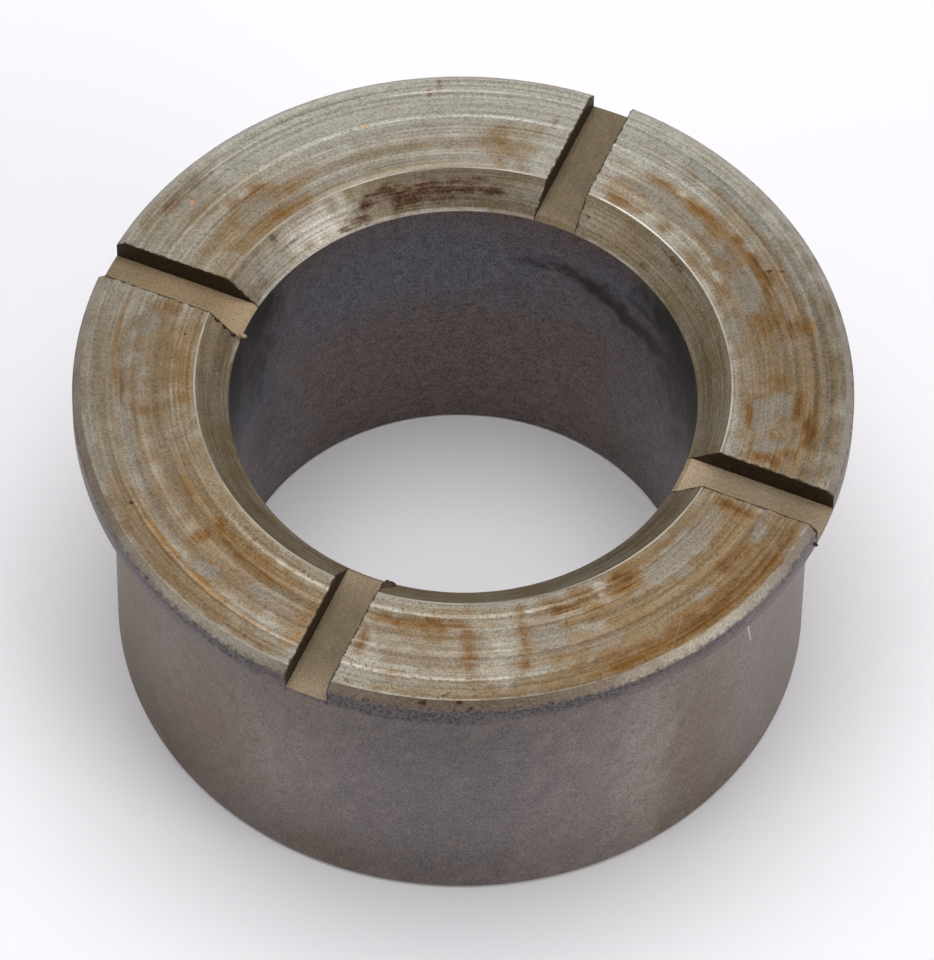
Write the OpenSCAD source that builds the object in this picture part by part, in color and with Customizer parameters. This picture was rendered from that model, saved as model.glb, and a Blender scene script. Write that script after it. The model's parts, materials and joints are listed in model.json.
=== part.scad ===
// Flanged bushing for a countershaft, turned from one piece of steel.
// The sleeve is pressed into its housing up to the flange, the shaft runs in
// the bore, and the slotted flange face takes the end thrust.
// Units are millimetres. The tail end stands on Z = 0 and the bore runs along Z.

/* [Flange] */
// Diameter over the flange
flange_d = 31.75; // [30:0.05:40]
// Thickness of the flange
flange_t = 1.3; // [1.2:0.05:4]
// Bevel on the outer edge of the thrust face, as wide as it is deep
rim_bevel = 0.33; // [0.1:0.01:0.6]

/* [Sleeve] */
// Diameter of the sleeve, a press size for a 28.575 mm housing
sleeve_d = 28.65; // [24:0.05:30]
// Overall length, from the tail end to the thrust face
overall_l = 15.7; // [8:0.1:40]
// Lead-in bevel round the tail end, as wide as it is deep
tail_bevel = 0.2; // [0.05:0.05:1]
// Radius that the turning tool leaves in the corner under the flange
root_r = 0.25; // [0.05:0.05:0.6]

/* [Bore] */
// Diameter of the running bore
bore_d = 19.1; // [14:0.05:21]
// Diameter of the countersink where it meets the thrust face
mouth_d = 21.76; // [20:0.02:26]
// Depth of the countersink below the thrust face
mouth_depth = 1.2; // [0.6:0.05:3]
// Edge break round the bore at the tail end
tail_break = 0.1; // [0.05:0.01:0.5]

/* [Oil slots] */
// Number of slots, evenly spaced
slot_count = 4; // [2:1:8]
// Width of each slot
slot_w = 1.8; // [1:0.1:4]
// Depth of each slot below the thrust face
slot_depth = 1.05; // [0.3:0.05:1.2]
// Turn of the first slot from the X axis, in degrees
slot_turn = 45; // [0:1:90]

/* [Hidden] */
// How far a cut runs past the surface that it opens
cut_over = 1;
flange_r = flange_d / 2;
sleeve_r = sleeve_d / 2;
bore_r = bore_d / 2;
mouth_r = mouth_d / 2;
// Height of the shoulder under the flange
shoulder_z = overall_l - flange_t;

// Half section of the turned blank, radius along X and height along Y
module section() {
    polygon([
        [bore_r + tail_break, 0],
        [sleeve_r - tail_bevel, 0],
        [sleeve_r, tail_bevel],
        [sleeve_r, shoulder_z],
        [flange_r, shoulder_z],
        [flange_r, overall_l - rim_bevel],
        [flange_r - rim_bevel, overall_l],
        [mouth_r, overall_l],
        [bore_r, overall_l - mouth_depth],
        [bore_r, tail_break]
    ]);
    root_fillet();
}

// Concave fillet between the sleeve and the flange's shoulder
module root_fillet() {
    difference() {
        translate([sleeve_r, shoulder_z - root_r])
            square(root_r);
        translate([sleeve_r + root_r, shoulder_z - root_r])
            circle(r = root_r, $fn = 48);
    }
}

// One radial slot, from the bore out through the rim
module oil_slot() {
    translate([0, -slot_w / 2, overall_l - slot_depth])
        cube([flange_r + cut_over, slot_w, slot_depth + cut_over]);
}

module bushing() {
    color([0.56, 0.52, 0.45])
        difference() {
            rotate_extrude($fn = 180)
                section();
            for (i = [0 : slot_count - 1])
                rotate(slot_turn + i * 360 / slot_count)
                    oil_slot();
        }
}

bushing();
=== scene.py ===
"""Looks of the flanged countershaft bushing: turned steel with oil slots, rings, stains and rust."""

import json
import math
import random

import bmesh
import bpy
import numpy
from mathutils import Matrix, Vector


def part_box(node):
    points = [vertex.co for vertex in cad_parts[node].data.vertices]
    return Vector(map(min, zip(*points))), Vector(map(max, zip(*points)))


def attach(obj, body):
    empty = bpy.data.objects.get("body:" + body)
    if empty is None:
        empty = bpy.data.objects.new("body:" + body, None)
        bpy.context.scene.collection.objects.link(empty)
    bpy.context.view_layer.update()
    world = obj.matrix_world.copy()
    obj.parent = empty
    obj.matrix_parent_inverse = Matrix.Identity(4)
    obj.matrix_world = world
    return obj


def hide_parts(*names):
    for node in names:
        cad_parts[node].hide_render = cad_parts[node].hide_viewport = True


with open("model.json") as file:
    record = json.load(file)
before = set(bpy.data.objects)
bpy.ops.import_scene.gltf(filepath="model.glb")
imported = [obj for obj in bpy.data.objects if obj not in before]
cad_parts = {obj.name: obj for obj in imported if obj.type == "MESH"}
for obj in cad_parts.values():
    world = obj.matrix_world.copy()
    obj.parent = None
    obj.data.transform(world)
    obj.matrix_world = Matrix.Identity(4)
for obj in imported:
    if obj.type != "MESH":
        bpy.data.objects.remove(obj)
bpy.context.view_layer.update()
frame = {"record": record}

MOUNTS = {m["name"]: m for m in frame["record"]["mounts"]}

# Sizes, in metres
MM = 0.001
LOW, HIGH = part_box("bushing")
FLANGE_R = min(HIGH.x, HIGH.y, -LOW.x, -LOW.y)
TOP_Z = HIGH.z
BORE_R = MOUNTS["bore"]["dims"]["r_mm"] * MM
SLEEVE_R = MOUNTS["sleeve"]["dims"]["r_mm"] * MM
SHOULDER_Z = MOUNTS["shoulder"]["pos_m"][2]
RIM_BEVEL = 0.33 * MM
TAIL_BEVEL = 0.2 * MM
TAIL_BREAK = 0.1 * MM
ROOT_R = 0.25 * MM
MOUTH_R = 10.88 * MM
MOUTH_DEPTH = 1.2 * MM
SLOT_W = 1.77 * MM
SLOT_DEPTH = 1.05 * MM
SLOT_ANGLES = [45, 135, 225, 315]
FACE_R = FLANGE_R - RIM_BEVEL
CUT_OVER = 2 * MM
LATHE_STEPS = 420
LATHE_MERGE = 0.0005 * MM
WALL_CUTS = 34
RIM_CUTS = 6
ROOT_CUTS = 4
SMOOTH_ANGLE = 28
# How far a face's centre may lie off the surface that it belongs to
NEAR = 0.01 * MM

# Heights of the three lands of the thrust face below its top, and the radii where they step
INNER_DROP = 0.012 * MM
MIDDLE_DROP = 0.024 * MM
OUTER_DROP = 0.036 * MM
INNER_STEP_R = 11.47 * MM
OUTER_STEP_R = 14.42 * MM
STEP_RUN = 0.12 * MM
MOUTH_EDGE = 0.08 * MM
MOUTH_EDGE_DROP = 0.01 * MM

# Tool marks: how far apart they lie and how deep they can cut, on each turned surface
SECTION_SEED = 31
TAIL_PITCH = 0.5 * MM
TAIL_CUT = 0.004 * MM
SHOULDER_PITCH = 0.3 * MM
SHOULDER_CUT = 0.003 * MM
FACE_PITCH = 0.12 * MM
FACE_CUT = 0.012 * MM
BEVEL_CUT = 0.004 * MM
INNER_CUT = 0.006 * MM
MOUTH_PITCH = 0.14 * MM
MOUTH_CUT = 0.02 * MM
# Rings that are cut deepest, as a share of the full cut, and the rings where painted highlights and painted
# shade lie as bright and dark lines
DEEP_RINGS = [13.62 * MM, 14.63 * MM, 14.92 * MM, 15.2 * MM]
DEEP_CUT = 0.9
HIGHLIGHT_RINGS = [13.62 * MM, 14.57 * MM, 14.91 * MM]
SHADED_RINGS = [13.8 * MM, 14.22 * MM, 14.73 * MM]
RING_W = 0.06 * MM

# Ragged slot walls and burrs
RAGGED_CUTS = 64
RAGGED = 0.007 * MM
BURR_RAGGED = 0.12

# Marks on the thrust face and the countersink: angle, radius, half arc, half width and strength.
# Angles run clockwise over the face, in degrees, with the slots at 22.5, 112.5, 202.5 and 292.5.
# Radii and widths are in millimetres. Where marks overlap, the strongest counts.
MARKS_START = -22.5
# Waves that make the marks' outlines uneven, how far they shift them, and how fast a mark fades
WANDER_WAVES = 7
UNEVEN = 0.22
FADE = 0.7
GREY_MARKS = [
    (145.0, 15.05, 14.0, 0.06, 0.8),
    (135.0, 15.22, 16.0, 0.05, 0.9),
    (150.0, 14.82, 10.0, 0.06, 0.7),
    (7.5, 12.3, 5.5, 0.5, 1.0),
    (3.5, 12.95, 2.8, 0.7, 1.0),
    (13.3, 12.7, 1.9, 0.7, 1.0),
    (11.5, 13.75, 2.0, 0.25, 0.8),
    (42.0, 12.05, 11.0, 0.62, 1.15),
    (50.0, 12.35, 5.0, 0.5, 1.15),
    (45.5, 12.8, 2.5, 0.5, 0.7),
    (46.5, 14.1, 2.2, 0.32, 1.0),
    (31.0, 13.9, 2.7, 0.55, 0.8),
    (74.0, 13.0, 3.4, 1.0, 0.9),
    (66.0, 14.0, 3.6, 0.42, 0.8),
    (126.0, 13.2, 6.5, 0.7, 0.75),
    (137.0, 13.9, 2.8, 0.4, 1.0),
    (152.0, 12.95, 5.2, 0.62, 0.6),
    (151.0, 13.95, 5.0, 0.35, 0.55),
    (98.0, 13.6, 6.0, 0.45, 0.6),
    (192.0, 13.1, 2.6, 0.4, 1.0),
    (225.3, 12.2, 4.8, 0.62, 1.1),
    (313.0, 12.35, 9.0, 0.5, 1.1),
    (327.0, 12.55, 3.4, 0.5, 1.0),
    (338.0, 12.5, 6.8, 0.68, 1.1),
    (345.5, 11.45, 3.6, 0.5, 1.0),
]
RUST_MARKS = [
    (7.5, 11.65, 4.5, 0.2, 1.0),
    (16.3, 12.9, 1.4, 0.8, 1.1),
    (14.6, 13.7, 1.5, 0.4, 0.95),
    (8.7, 14.15, 4.2, 0.3, 1.2),
    (4.0, 13.7, 2.8, 0.25, 0.9),
    (1.0, 12.8, 1.0, 0.8, 0.6),
    (11.5, 14.55, 2.2, 0.25, 0.7),
    (28.6, 12.5, 1.4, 1.2, 1.1),
    (36.0, 11.6, 5.0, 0.2, 0.5),
    (35.0, 13.2, 4.5, 0.8, 0.55),
    (39.0, 13.9, 4.5, 0.45, 1.0),
    (60.0, 11.6, 9.0, 0.5, 0.8),
    (55.5, 11.5, 3.6, 0.55, 1.1),
    (56.5, 11.95, 3.0, 0.3, 1.0),
    (68.5, 11.8, 6.5, 0.2, 1.15),
    (66.0, 11.4, 7.0, 0.25, 0.8),
    (64.0, 12.6, 6.0, 0.5, 0.7),
    (62.0, 13.2, 7.0, 0.4, 0.6),
    (78.4, 12.7, 1.3, 1.1, 0.86),
    (77.8, 11.6, 1.2, 0.6, 0.75),
    (79.2, 13.8, 1.2, 0.6, 0.8),
    (60.0, 13.6, 20.0, 0.13, 0.55),
    (42.0, 14.5, 14.0, 0.12, 0.75),
    (65.0, 14.52, 9.0, 0.14, 0.75),
    (43.0, 14.7, 2.6, 0.25, 1.1),
    (49.0, 15.05, 23.0, 0.65, 0.95),
    (36.5, 15.0, 6.5, 0.5, 0.95),
    (29.5, 15.0, 4.0, 0.5, 0.85),
    (54.0, 15.0, 6.5, 0.4, 0.95),
    (45.0, 15.15, 6.0, 0.3, 0.75),
    (64.0, 15.15, 5.5, 0.35, 0.95),
    (71.0, 14.9, 3.5, 0.3, 0.6),
    (88.8, 12.2, 1.5, 0.8, 0.82),
    (88.0, 14.3, 1.4, 0.8, 0.8),
    (103.0, 12.0, 5.5, 0.35, 0.85),
    (94.5, 12.0, 6.0, 0.35, 0.85),
    (90.5, 11.9, 2.5, 0.35, 0.8),
    (100.5, 12.5, 8.0, 0.5, 0.6),
    (88.3, 13.2, 1.5, 1.0, 0.88),
    (107.2, 13.2, 1.2, 1.1, 0.9),
    (100.5, 14.5, 1.8, 0.16, 0.8),
    (99.0, 15.38, 0.8, 0.1, 0.7),
    (102.3, 15.33, 1.2, 0.14, 0.8),
    (95.0, 15.3, 0.7, 0.1, 0.7),
    (117.6, 13.1, 1.4, 1.0, 0.75),
    (117.0, 14.3, 1.5, 0.35, 0.7),
    (134.0, 12.15, 15.0, 0.45, 0.75),
    (135.0, 12.42, 10.0, 0.22, 1.0),
    (142.5, 12.12, 3.8, 0.35, 1.0),
    (143.2, 12.9, 1.4, 0.85, 0.85),
    (155.0, 12.2, 6.0, 0.3, 0.6),
    (135.0, 14.36, 4.5, 0.17, 0.6),
    (146.5, 14.36, 4.8, 0.18, 0.6),
    (125.0, 14.42, 6.0, 0.12, 0.5),
    (138.0, 14.6, 16.0, 0.09, 0.8),
    (153.5, 14.42, 2.5, 0.14, 0.6),
    (138.0, 15.3, 16.0, 0.2, 0.45),
    (162.3, 13.2, 1.5, 0.6, 0.65),
    (172.6, 12.9, 1.8, 0.9, 0.72),
    (177.0, 11.4, 5.0, 0.6, 0.65),
    (178.0, 13.85, 4.5, 0.22, 0.75),
    (184.0, 14.05, 6.0, 0.16, 0.75),
    (187.0, 11.7, 10.0, 0.6, 0.62),
    (191.0, 14.3, 6.0, 0.14, 0.72),
    (196.0, 12.5, 1.7, 0.7, 0.75),
    (214.0, 11.6, 5.0, 0.7, 0.35),
    (228.0, 11.3, 9.5, 0.4, 0.75),
    (227.0, 12.87, 4.0, 0.2, 0.8),
    (226.0, 12.6, 9.0, 0.9, 0.45),
    (233.5, 11.9, 3.0, 0.5, 0.6),
    (215.5, 15.0, 2.2, 0.25, 0.65),
    (263.8, 14.8, 0.4, 0.35, 0.7),
    (265.4, 15.25, 0.6, 0.25, 0.75),
    (278.5, 12.0, 3.5, 0.7, 0.6),
    (274.0, 12.55, 5.0, 0.16, 0.55),
    (283.5, 13.2, 0.5, 0.3, 0.6),
    (285.3, 13.8, 0.45, 0.45, 0.65),
    (305.0, 11.35, 5.5, 0.42, 0.7),
    (315.0, 11.35, 3.0, 0.3, 0.65),
    (327.0, 11.15, 5.0, 0.22, 0.6),
    (335.5, 11.35, 4.5, 0.4, 0.75),
    (302.0, 12.2, 3.0, 0.4, 0.5),
    (326.0, 14.25, 24.0, 0.22, 0.45),
    (317.0, 13.1, 9.5, 0.24, 0.85),
    (335.0, 13.4, 9.5, 0.26, 1.05),
    (345.5, 12.7, 3.0, 0.8, 0.8),
    (339.0, 13.95, 10.0, 0.5, 0.62),
    (347.3, 13.9, 2.6, 0.75, 0.9),
    (342.0, 14.5, 2.0, 0.18, 0.7),
    (358.6, 12.8, 1.6, 0.45, 0.75),
]
TAN_MARKS = [
    (45.0, 13.2, 28.0, 2.6, 1.0),
    (97.0, 12.2, 10.0, 0.8, 0.8),
    (118.5, 13.2, 3.0, 2.0, 0.8),
    (136.0, 12.6, 24.0, 1.6, 0.8),
    (138.0, 15.0, 22.0, 0.8, 0.9),
    (140.0, 11.2, 28.0, 0.4, 0.7),
    (93.0, 15.0, 15.0, 0.7, 0.7),
    (45.0, 11.2, 24.0, 0.45, 1.1),
    (152.0, 15.0, 14.0, 0.8, 0.8),
    (60.0, 15.0, 30.0, 0.6, 1.2),
    (184.0, 12.3, 15.0, 2.0, 0.9),
    (222.0, 11.9, 16.0, 1.6, 0.85),
    (278.0, 12.0, 7.0, 1.2, 0.75),
    (211.0, 13.2, 5.0, 2.5, 0.55),
    (218.0, 13.8, 8.0, 0.8, 0.7),
    (304.0, 11.6, 7.0, 1.0, 0.7),
    (330.0, 12.6, 22.0, 1.7, 0.9),
    (5.0, 13.2, 12.0, 1.6, 0.7),
    (90.0, 13.0, 16.0, 2.4, 0.6),
    (358.0, 12.6, 30.0, 2.4, 0.75),
    (0.0, 11.3, 24.0, 0.5, 0.7),
    (9.0, 15.0, 10.0, 0.8, 0.2),
    (180.0, 12.6, 34.0, 1.8, 0.75),
    (150.0, 12.2, 24.0, 1.8, 0.8),
    (256.0, 11.8, 32.0, 0.9, 0.48),
    (180.0, 13.2, 36.0, 1.8, 0.55),
    (180.0, 15.0, 30.0, 1.0, 0.4),
    (218.0, 14.9, 9.0, 0.6, 0.5),
    (2.0, 13.4, 26.0, 2.6, 0.8),
    (356.0, 15.0, 24.0, 1.0, 0.3),
    (140.0, 13.4, 34.0, 2.6, 0.35),
]
# Where the face and the countersink are darker: partly duller steel, partly painted shade on the face's sides
# and round the countersink, where the turning marks send back less light
DULL_AND_SHADE_MARKS = [
    (346.0, 14.9, 36.0, 1.1, 1.0),
    (186.0, 14.9, 36.0, 1.1, 1.0),
    (352.0, 13.2, 26.0, 1.6, 0.7),
    (184.0, 13.2, 26.0, 1.6, 0.7),
    (218.0, 15.0, 9.0, 0.6, 0.9),
    (8.0, 10.1, 28.0, 0.5, 0.7),
    (150.0, 10.1, 14.0, 0.5, 0.3),
    (178.0, 10.1, 26.0, 0.5, 0.45),
    (276.0, 15.0, 46.0, 0.7, 0.45),
    (32.0, 10.1, 14.0, 0.5, 0.75),
    (255.0, 12.0, 28.0, 1.2, 0.35),
    (218.0, 13.8, 10.0, 0.8, 0.4),
    (38.0, 11.5, 9.0, 0.6, 0.45),
    (178.0, 13.9, 17.0, 0.9, 0.85),
    (146.0, 15.0, 24.0, 0.7, 0.6),
    (316.0, 15.0, 18.0, 0.7, 0.75),
    (54.0, 10.1, 20.0, 0.5, 0.55),
]
PALE_MARKS = [
    (61.0, 11.4, 1.7, 0.25, 1.2),
    (61.5, 11.78, 0.8, 0.15, 1.0),
    (83.0, 12.8, 3.0, 0.6, 0.8),
    (84.5, 14.2, 3.0, 0.9, 0.8),
    (311.6, 11.35, 1.6, 0.35, 1.0),
    (306.0, 11.7, 3.0, 0.25, 0.7),
    (319.2, 11.3, 2.6, 0.3, 1.0),
    (322.5, 11.8, 6.5, 0.13, 1.0),
    (331.6, 11.7, 2.6, 0.2, 1.1),
    (312.3, 13.2, 1.6, 0.28, 0.9),
    (105.0, 14.0, 4.0, 0.6, 0.6),
    (234.0, 10.2, 12.0, 0.6, 1.0),
    (217.0, 10.2, 10.0, 0.6, 0.65),
    (281.0, 10.3, 12.0, 0.5, 0.45),
    (302.0, 10.3, 10.0, 0.5, 0.35),
    (266.0, 10.1, 10.0, 0.4, 0.35),
    (226.0, 9.6, 26.0, 0.09, 1.3),
    (264.0, 9.6, 18.0, 0.07, 1.0),
    (312.0, 9.6, 12.0, 0.06, 0.8),
]
# Painted highlight on the lip round the bore's mouth: how bright it is at each angle
MOUTH_HIGHLIGHTS = [
    (314.0, 10.9, 17.0, 0.4, 1.0),
    (340.0, 10.9, 10.0, 0.4, 0.5),
    (224.0, 10.9, 12.0, 0.4, 0.28),
    (246.0, 10.9, 10.0, 0.4, 0.5),
    (280.0, 10.9, 8.0, 0.4, 0.45),
    (8.0, 10.9, 12.0, 0.4, 0.6),
    (45.0, 10.9, 16.0, 0.4, 0.6),
    (95.0, 10.9, 12.0, 0.4, 0.5),
    (135.0, 10.9, 18.0, 0.4, 0.5),
    (180.0, 10.9, 19.0, 0.4, 0.4),
]
# Where painted highlights lie on the steps of the face, and where a pale line runs along its outer edge; rust
# flecks are thicker there too
EDGE_HIGHLIGHTS_AND_FLECKS = [
    (114.0, 11.53, 24.0, 0.4, 0.7),
    (72.0, 11.53, 14.0, 0.4, 0.3),
    (104.0, 14.48, 26.0, 0.3, 0.5),
    (138.0, 14.48, 18.0, 0.3, 0.35),
    (55.0, 15.5, 30.0, 0.4, 0.4),
    (98.0, 15.5, 12.0, 0.4, 0.8),
    (130.0, 15.5, 16.0, 0.4, 0.6),
]
# Where painted highlights and painted shade lie on the deeper rings
RING_SHEEN_MARKS = [
    (268.0, 14.2, 22.0, 2.0, 0.9),
    (306.0, 14.2, 20.0, 2.0, 0.75),
    (228.0, 14.8, 18.0, 0.6, 0.6),
    (98.0, 14.9, 12.0, 0.6, 0.4),
]
GOLD_MARKS = [
    (135.0, 14.45, 4.5, 0.14, 0.9),
    (147.5, 14.42, 6.0, 0.14, 0.9),
    (124.0, 14.5, 8.0, 0.1, 0.7),
    (57.0, 14.45, 13.0, 0.1, 0.7),
    (100.5, 14.5, 1.8, 0.12, 0.8),
    (117.5, 14.2, 1.2, 0.4, 0.6),
    (347.5, 14.45, 2.0, 0.2, 0.7),
    (340.0, 14.55, 1.5, 0.12, 0.6),
    (178.0, 14.0, 3.0, 0.2, 0.5),
    (317.5, 13.3, 3.0, 0.15, 0.5),
]
ORANGE_MARKS = [
    (319.4, 10.62, 0.35, 0.07, 0.8),
    (218.5, 14.35, 0.5, 0.1, 1.0),
    (251.8, 13.65, 0.6, 0.1, 1.0),
    (253.8, 11.65, 0.3, 0.1, 0.8),
]
# Paler and browner ends of the slots' floors
FLOOR_PALES = [
    (21.5, 10.0, 8.0, 1.2, 1.0),
    (21.5, 12.5, 8.0, 1.6, 0.35),
    (21.5, 15.8, 8.0, 0.6, 0.5),
    (112.5, 9.8, 8.0, 0.9, 0.4),
    (112.5, 15.5, 8.0, 0.7, 0.5),
    (203.0, 9.7, 8.0, 0.5, 0.8),
]
FLOOR_TANS = [
    (203.0, 10.4, 8.0, 1.4, 1.0),
    (203.0, 13.0, 8.0, 1.6, 0.75),
]
DARK_MARKS = [
    (191.0, 11.55, 0.4, 0.08, 1.0),
    (223.0, 13.97, 0.5, 0.08, 1.0),
    (154.8, 14.65, 0.4, 0.12, 1.0),
    (334.8, 13.7, 0.5, 0.22, 0.8),
    (335.6, 14.2, 0.35, 0.15, 0.8),
    (70.0, 12.45, 0.35, 0.2, 0.7),
    (222.6, 10.75, 0.9, 0.25, 0.75),
    (225.0, 10.25, 3.0, 0.1, 0.65),
    (239.0, 9.72, 3.0, 0.1, 0.75),
    (243.5, 9.85, 3.0, 0.25, 0.8),
    (246.0, 10.2, 3.5, 0.3, 0.85),
    (251.0, 10.42, 5.0, 0.2, 0.95),
    (257.0, 10.15, 8.0, 0.36, 0.95),
    (264.0, 10.25, 7.0, 0.34, 0.95),
    (269.5, 10.3, 5.0, 0.28, 0.9),
    (275.5, 10.22, 4.0, 0.14, 1.0),
    (272.5, 10.5, 3.0, 0.1, 0.8),
    (299.6, 10.2, 0.9, 0.12, 0.8),
    (317.3, 9.85, 0.9, 0.08, 0.7),
    (319.5, 10.65, 0.8, 0.12, 0.7),
    (324.5, 10.65, 2.6, 0.14, 0.8),
]

# Burrs left at the slots: angle, radius, height, then the half sizes round, outwards and up, in millimetres
DARK_BURRS = [
    (107.1, 10.06, 14.88, 0.24, 0.34, 0.17),
    (106.3, 9.8, 14.72, 0.17, 0.16, 0.17),
    (25.9, 15.82, 15.15, 0.05, 0.1, 0.38),
    (26.5, 15.92, 14.74, 0.06, 0.12, 0.12),
    (197.2, 10.6, 15.4, 0.07, 0.16, 0.1),
    (197.0, 10.25, 15.1, 0.06, 0.14, 0.1),
    (196.8, 9.9, 14.8, 0.08, 0.18, 0.1),
]
PALE_BURRS = [
    (197.7, 9.46, 14.66, 0.1, 0.16, 0.09),
]
# Scratches: angle, radius and height of one end and of the other, and their half width, in millimetres
SLEEVE_SCRATCH = ((35.6, 14.32, 10.9), (34.4, 14.32, 9.3))
FACE_SCRATCH = ((52.0, 14.4, 15.64), (57.0, 15.5, 15.64))
SCRATCH_W = 0.06

# Marks on the bore and on the sleeve, with the height in place of the radius
BORE_SMEARS = [
    (288.0, 11.6, 6.0, 0.3, 0.9),
    (296.0, 11.8, 6.0, 0.4, 1.2),
    (304.0, 11.55, 6.0, 0.42, 1.4),
    (310.5, 11.2, 6.0, 0.46, 1.5),
    (317.0, 10.85, 6.5, 0.46, 1.5),
    (324.0, 10.95, 6.5, 0.46, 1.4),
    (332.0, 11.1, 7.0, 0.46, 1.3),
    (340.0, 11.4, 7.0, 0.6, 1.3),
    (308.0, 11.8, 9.0, 0.5, 0.6),
    (318.0, 9.7, 3.0, 0.35, 0.6),
    (301.0, 10.0, 0.5, 0.12, 1.3),
    (251.0, 9.1, 0.4, 0.1, 1.1),
    (320.0, 8.3, 0.9, 0.14, 0.9),
    (282.0, 9.4, 3.0, 0.5, 0.5),
    (338.0, 11.0, 13.0, 4.0, 1.0),
    (322.0, 12.4, 7.0, 0.35, 1.0),
    (331.0, 9.6, 3.0, 0.5, 1.1),
    (338.0, 7.4, 2.5, 0.7, 0.9),
    (205.0, 11.0, 11.0, 3.5, 1.0),
    (208.0, 13.6, 9.0, 1.3, 1.5),
    (334.0, 13.4, 13.0, 1.4, 1.5),
    (210.0, 5.0, 9.0, 3.0, 0.6),
    (191.0, 12.6, 9.0, 3.0, 1.4),
    (186.0, 11.8, 16.0, 4.0, 1.1),
    (347.0, 12.6, 9.0, 3.0, 1.5),
    (352.0, 11.8, 16.0, 4.0, 1.1),
    (239.0, 0.7, 12.0, 0.2, 0.8),
]
BORE_BLUES = [
    (255.0, 11.0, 45.0, 2.6, 1.0),
    (312.0, 12.7, 18.0, 0.9, 0.9),
    (205.0, 8.4, 14.0, 1.8, 1.0),
    (215.0, 3.0, 10.0, 4.0, 0.6),
    (330.0, 5.0, 16.0, 4.0, 0.6),
]
SLEEVE_VIOLETS = [
    (92.0, 7.5, 19.0, 7.0, 1.0),
    (160.0, 8.0, 10.0, 7.0, 0.6),
    (250.0, 8.0, 22.0, 7.0, 0.8),
]
SLEEVE_BROWNS = [
    (47.0, 5.0, 9.0, 7.0, 0.8),
    (136.0, 5.5, 9.0, 5.0, 0.9),
    (162.0, 5.0, 16.0, 9.0, 1.0),
    (148.0, 1.5, 16.0, 2.0, 1.0),
    (142.0, 4.0, 10.0, 4.0, 1.0),
    (45.0, 0.8, 12.0, 0.9, 1.0),
    (110.0, 1.0, 16.0, 1.2, 0.6),
    (40.3, 1.9, 0.8, 0.12, 1.2),
    (84.0, 1.15, 0.4, 0.1, 1.1),
    (300.0, 4.0, 12.0, 5.0, 0.8),
    (214.0, 3.0, 9.0, 4.0, 0.7),
]
# Painted shade on the sleeve: darker under the flange and just above the table
SLEEVE_SHADE_MARKS = [
    (102.0, 11.8, 36.0, 2.4, 1.35),
    (148.0, 1.8, 12.0, 1.8, 1.0),
    (90.0, 1.8, 12.0, 1.2, 1.0),
    (108.0, 1.4, 34.0, 1.6, 0.9),
    (20.0, 6.5, 9.0, 6.0, 0.6),
    (155.0, 1.6, 16.0, 2.0, 0.8),
    (262.0, 1.4, 40.0, 1.6, 0.8),
]
# Small pale rubbed spots, and broad painted highlights down the sleeve's sides
SLEEVE_RUBS_AND_HIGHLIGHTS = [
    (97.0, 9.6, 1.8, 0.3, 0.75),
    (90.0, 8.0, 1.6, 0.8, 0.55),
    (129.0, 1.1, 0.9, 0.25, 0.8),
    (122.0, 6.0, 2.5, 3.0, 0.6),
    (58.0, 6.0, 6.0, 7.0, 0.9),
    (278.0, 7.0, 6.0, 5.0, 0.7),
]
# Painted highlights on the flange's bevel, with the band below it a little paler there
RIM_HIGHLIGHTS = [
    (48.0, 15.5, 14.0, 0.5, 0.68),
    (132.0, 15.6, 17.0, 0.25, 0.62),
    (8.0, 15.5, 20.0, 0.5, 0.65),
    (240.0, 15.5, 45.0, 0.5, 0.95),
    (310.0, 15.5, 45.0, 0.5, 0.95),
]
# Where the flange's side is dark and pitted; darkest at the front, where the dark is partly painted shade
RIM_DARKS = [
    (98.0, 15.0, 16.0, 0.55, 1.2),
    (72.0, 15.18, 16.0, 0.36, 1.1),
    (50.0, 15.15, 14.0, 0.36, 0.75),
    (32.0, 15.15, 10.0, 0.3, 0.8),
    (124.0, 15.15, 12.0, 0.34, 1.1),
    (145.0, 15.15, 14.0, 0.32, 0.95),
    (170.0, 15.2, 14.0, 0.2, 0.6),
    (230.0, 15.15, 30.0, 0.3, 0.8),
    (300.0, 15.15, 36.0, 0.3, 0.8),
    (352.0, 15.15, 20.0, 0.3, 0.7),
]
RIM_SPOTS = [
    (90.0, 15.62, 0.4, 0.09, 1.2),
    (95.2, 15.55, 0.42, 0.11, 1.3),
    (88.5, 15.45, 0.4, 0.08, 1.1),
]


# The turned blank and its slots

def turned_line(start, end, pitch, depth, rng, deep_rings=()):
    """Points from start to end in the section, with a tool mark every pitch, cut to the left of the way."""
    (r0, z0), (r1, z1) = start, end
    length = math.hypot(r1 - r0, z1 - z0)
    inward = (-(z1 - z0) / length, (r1 - r0) / length)
    count = max(1, round(length / pitch))
    points = [start]
    for i in range(count):
        peak = (i + 1) / count
        valley = (i + rng.uniform(0.28, 0.5)) / count
        cut = depth * rng.choice([0.4, 0.5, 0.6, 0.7])
        if any(abs(r0 + (r1 - r0) * valley - r) < pitch / 2 for r in deep_rings):
            cut = depth * DEEP_CUT
        points.append((r0 + (r1 - r0) * valley + inward[0] * cut, z0 + (z1 - z0) * valley + inward[1] * cut))
        points.append((r0 + (r1 - r0) * peak, z0 + (z1 - z0) * peak))
    return points


def even_line(start, end, count):
    """Points from start, left out, to end."""
    (r0, z0), (r1, z1) = start, end
    return [(r0 + (r1 - r0) * i / count, z0 + (z1 - z0) * i / count) for i in range(1, count + 1)]


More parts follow.
